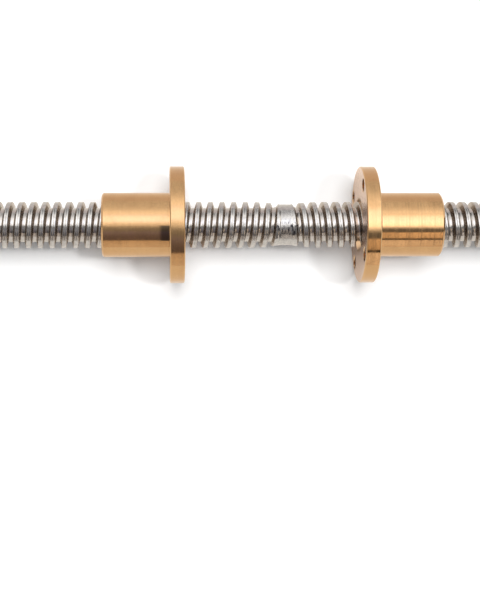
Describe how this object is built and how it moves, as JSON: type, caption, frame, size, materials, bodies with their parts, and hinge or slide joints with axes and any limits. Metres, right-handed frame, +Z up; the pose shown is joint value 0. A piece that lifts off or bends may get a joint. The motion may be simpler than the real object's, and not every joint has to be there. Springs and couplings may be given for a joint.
{
  "type": "double-handed trapezoidal lead screw with two flanged nuts",
  "caption": "Rolled steel trapezoidal screw, right-handed on one half and left-handed on the other, with a flanged brass nut on each half.",
  "frame": {"origin": "on the ground plane, straight below the screw's axis and below the middle of its plain unrolled stretch", "axes": "+X along the screw towards its right-hand thread, +Z up, flanges resting on z = 0"},
  "size_m": [0.25, 0.04, 0.04],
  "materials": {
    "rolled_stainless_steel": "bright rolled, with fine marks along the thread",
    "turned_brass": "turned, with fine marks round the axis"
  },
  "bodies": {
    "screw": {"lead_screw": "rolled_stainless_steel"},
    "left_nut": {"left_hand_nut": "turned_brass"},
    "right_nut": {"right_hand_nut": "turned_brass"}
  },
  "joints": [
    {"name": "left_nut_travel", "type": "slide", "parent": "screw", "child": "left_nut", "axis": [-1, 0, 0], "range_m": [-0.024, 0.06]},
    {"name": "right_nut_travel", "type": "slide", "parent": "screw", "child": "right_nut", "axis": [1, 0, 0], "range_m": [-0.016, 0.068]}
  ]
}
